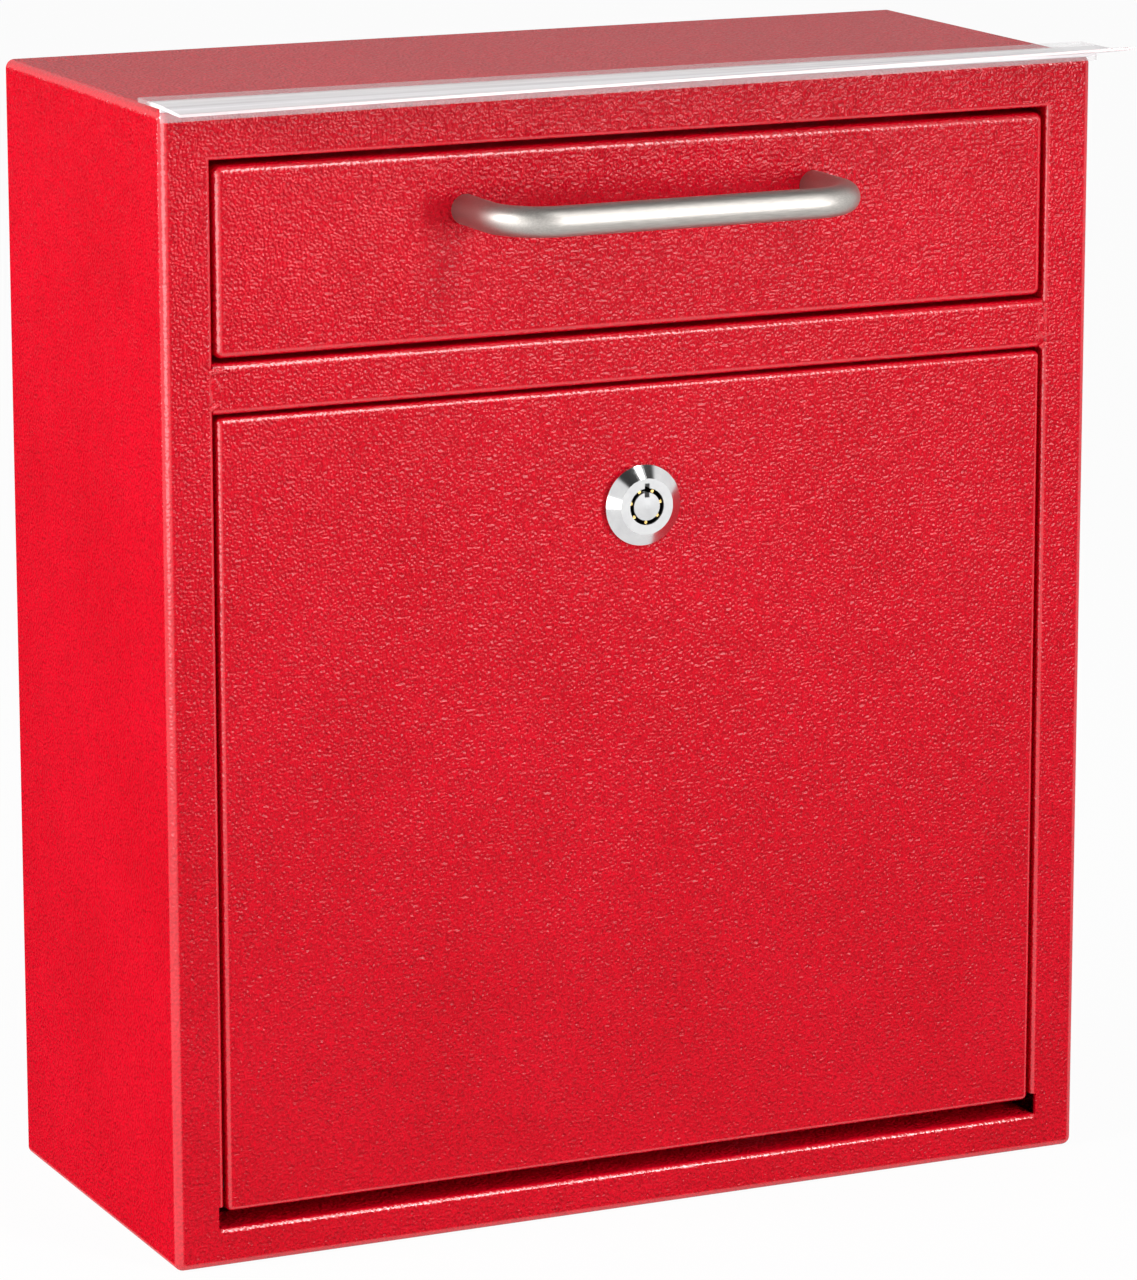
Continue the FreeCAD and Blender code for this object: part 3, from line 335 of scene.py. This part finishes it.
def clear_vinyl():
    """Flexible clear strip, streaked along its length: milky along its fin, clearer at its back and lip; its
    lighter and darker bands across the depth are a painted reflection of the bright surroundings at a grazing
    view, and its pink at the lip stands for the red front seen through it.
    """
    material, tree, shader = new_material("clear_vinyl")
    streak = noise(tree, place_coordinates(tree, (0.04, 1.0, 1.0)), 420.0, 3.0, 0.55)
    _, depth, height = position(tree)
    way = spread(tree, depth, 0.0, 1.0, GUARD_EDGE, GUARD_BACK)
    # Painted reflection: pale and darker bands across the strip's depth, with pink at the lip for the red
    # seen through it
    tint = ramp(tree, way, [(0.0, (0.80, 0.66, 0.67)), (0.08, (0.74, 0.70, 0.72)),
                            (0.20, (0.86, 0.82, 0.85)), (0.27, (0.80, 0.77, 0.80)),
                            (0.33, (0.62, 0.58, 0.60)), (0.40, (0.70, 0.67, 0.69)),
                            (1.0, (0.76, 0.74, 0.75))])
    tree.links.new(tint, shader.inputs["Base Color"])
    shader.inputs["Roughness"].default_value = 0.22
    milky = spread(tree, way, 0.94, 0.22, 0.62, 0.76)
    fin = spread(tree, height, 0.24, 1.0, BOX_TOP - LIP_FADE, BOX_TOP)
    clear = arithmetic(tree, "MULTIPLY", milky, fin)
    uneven = spread(tree, streak, 0.85, 1.1, NOISE_LOW, NOISE_HIGH)
    tree.links.new(arithmetic(tree, "MULTIPLY", clear, uneven), shader.inputs["Alpha"])
    bump(tree, streak, 0.0001, shader.inputs["Normal"], 0.1)
    return material


def clear_tape():
    """Clear adhesive strip with a slight haze."""
    material, tree, shader = new_material("clear_tape")
    cloud = noise(tree, place_coordinates(tree, (0.1, 1.0, 1.0)), 160.0, 3.0, 0.55)
    tint = mottle(tree, cloud, (0.70, 0.60, 0.60), (0.82, 0.74, 0.74))
    tree.links.new(tint, shader.inputs["Base Color"])
    shader.inputs["Roughness"].default_value = 0.3
    tree.links.new(spread(tree, cloud, 0.15, 0.3, NOISE_LOW, NOISE_HIGH), shader.inputs["Alpha"])
    return material


RED = red_powder_coat()
FINISH = {
    "red_powder_coat": RED,
    "satin_steel": satin_steel(),
    "lock_chrome": lock_chrome(),
    "zinc_steel": plated("zinc_steel", (0.50, 0.51, 0.52), (0.66, 0.67, 0.68), 0.25, 0.4, 200.0),
    "pin_brass": plated("pin_brass", (0.60, 0.40, 0.13), (0.78, 0.56, 0.22), 0.2, 0.3, 900.0),
    "black_nylon": black_nylon(),
    "clear_vinyl": clear_vinyl(),
    "clear_tape": clear_tape(),
}

for subpart in frame["record"]["subparts"]:
    piece = nodes[subpart["node"]]
    piece.data.materials.clear()
    piece.data.materials.append(FINISH[subpart["material_slot"]])


def weld(name, lumps):
    """One piece of weld lumps on the front; a lump is its x, z, half sizes and how deep its middle lies."""
    shape = bmesh.new()
    for x, z, half, sunk in lumps:
        middle = Vector((x, FRONT + sunk, z))
        for vertex in bmesh.ops.create_icosphere(shape, subdivisions=WELD_SPLIT, radius=1.0)["verts"]:
            swell = 1.0 + WELD_WAVE * lattice.noise(vertex.co * WELD_WAVES + middle / half[0])
            vertex.co = middle + Vector(half) * vertex.co * swell
    for face in shape.faces:
        face.smooth = True
    mesh = bpy.data.meshes.new(name)
    shape.to_mesh(mesh)
    shape.free()
    mesh.materials.append(RED)
    piece = bpy.data.objects.new(name, mesh)
    bpy.context.scene.collection.objects.link(piece)
    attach(piece, "cabinet")


def beads(x, z, step, rise, count):
    """A row of small lumps on the front; each is a step to the right of the one before and a rise higher."""
    return [(x + step * turn, z + rise * turn, BEAD_HALF, 0.0) for turn in range(count)]


def studio():
    """Pale floor, white surroundings with a dark ceiling and a dark patch in front, and soft lamps."""
    world = bpy.data.worlds.new("studio")
    bpy.context.scene.world = world
    world.use_nodes = True
    tree = world.node_tree
    back = tree.nodes["Background"]
    where = tree.nodes.new("ShaderNodeTexCoord")
    parts = tree.nodes.new("ShaderNodeSeparateXYZ")
    tree.links.new(where.outputs["Generated"], parts.inputs["Vector"])
    ceiling = spread(tree, parts.outputs["Z"], 0.0, 1.0, CEILING_START, CEILING_END)
    near = tree.nodes.new("ShaderNodeVectorMath")
    near.operation = "DOT_PRODUCT"
    tree.links.new(where.outputs["Generated"], near.inputs[0])
    near.inputs[1].default_value = FLAG_WAY
    flag = spread(tree, near.outputs["Value"], 0.0, 1.0, FLAG_START, FLAG_END)
    white = spread(tree, arithmetic(tree, "MAXIMUM", ceiling, flag), 1.0, CEILING)
    shown = arithmetic(tree, "MULTIPLY", arithmetic(tree, "SUBTRACT", white, AMBIENT),
                       light_path_seen(tree))
    tree.links.new(arithmetic(tree, "ADD", shown, AMBIENT), back.inputs["Strength"])
    back.inputs["Color"].default_value = (1.0, 1.0, 1.0, 1.0)

    bpy.ops.mesh.primitive_plane_add(size=FLOOR_SIZE, location=(0.0, 0.0, UNDERSIDE - FLOOR_GAP))
    floor = bpy.context.object
    floor.name = "floor"
    material, tree, shader = new_material("floor")
    cloud = noise(tree, place_coordinates(tree), 3.0)
    tint = mottle(tree, cloud, (0.70, 0.70, 0.70), (0.74, 0.74, 0.74))
    tree.links.new(tint, shader.inputs["Base Color"])
    shader.inputs["Roughness"].default_value = 0.9
    glow = tree.nodes.new("ShaderNodeEmission")
    mix = tree.nodes.new("ShaderNodeMixShader")
    tree.links.new(spread(tree, light_path_seen(tree), 0.0, FLOOR_GLOW), mix.inputs["Fac"])
    tree.links.new(shader.outputs["BSDF"], mix.inputs[1])
    tree.links.new(glow.outputs["Emission"], mix.inputs[2])
    tree.links.new(mix.outputs["Shader"], tree.nodes["Material Output"].inputs["Surface"])
    floor.data.materials.append(material)

    for values in LAMPS:
        lamp(*values)


def light_path_seen(tree):
    """1 for rays from the camera, from reflections and through clear plastic, else 0."""
    path = tree.nodes.new("ShaderNodeLightPath").outputs
    seen = arithmetic(tree, "MAXIMUM", path["Is Camera Ray"], path["Is Glossy Ray"])
    return arithmetic(tree, "MAXIMUM", seen, path["Is Transmission Ray"])


def lamp(name, azimuth, elevation, distance, width, height, power):
    """Oblong area lamp that faces the front's middle; azimuth 0 is in front of it and 90 at its right."""
    turn, lift = math.radians(azimuth), math.radians(elevation)
    way = Vector((math.sin(turn) * math.cos(lift), -math.cos(turn) * math.cos(lift), math.sin(lift)))
    data = bpy.data.lights.new(name, "AREA")
    data.shape = "RECTANGLE"
    data.size = width
    data.size_y = height
    data.energy = power
    holder = bpy.data.objects.new(name, data)
    holder.location = Vector((0.0, FRONT, 0.0)) + way * distance
    holder.rotation_euler = (-way).to_track_quat("-Z", "Y").to_euler()
    holder.visible_camera = False
    bpy.context.scene.collection.objects.link(holder)


def camera():
    """Camera at the photograph's view."""
    data = bpy.data.cameras.new("camera")
    data.sensor_fit = "HORIZONTAL"
    data.sensor_width = CAMERA_SENSOR
    data.lens = CAMERA_LENS
    data.clip_start = CAMERA_NEAR
    data.clip_end = CAMERA_FAR
    holder = bpy.data.objects.new("camera", data)
    holder.location = CAMERA_AT
    holder.rotation_euler = [math.radians(angle) for angle in CAMERA_TURN]
    bpy.context.scene.collection.objects.link(holder)
    bpy.context.scene.camera = holder
    bpy.context.scene.view_settings.view_transform = "Standard"


# Each weld is a shallow patch over the seam with rows of beads at its ends
weld("mid_rail_weld_left",
     [(RAIL_LEFT + 0.0003, PATCH_LEVEL, (0.0024, PATCH_DEPTH, PATCH_HALF), 0.00105)]
     + beads(RAIL_LEFT - 0.0004, RAIL_TOP - 0.0018, 0.0009, 0.0001, 4)
     + beads(RAIL_LEFT - 0.0006, RAIL_FOOT + 0.0030, 0.0007, 0.0004, 3))
weld("mid_rail_weld_right",
     [(RAIL_RIGHT - 0.0003, PATCH_LEVEL, (0.0022, PATCH_DEPTH, PATCH_HALF), 0.0010),
      (RAIL_RIGHT - 0.0002, RAIL_FOOT + 0.0046, (0.0017, 0.0009, 0.0012), 0.0001)]
     + beads(RAIL_RIGHT - 0.0022, RAIL_FOOT + 0.0040, 0.0010, 0.0002, 5)
     + beads(RAIL_RIGHT - 0.0004, RAIL_FOOT + 0.0015, 0.0008, 0.0004, 2)
     + beads(RAIL_RIGHT + 0.0003, RAIL_TOP - 0.0020, 0.0003, 0.0006, 2))
studio()
camera()
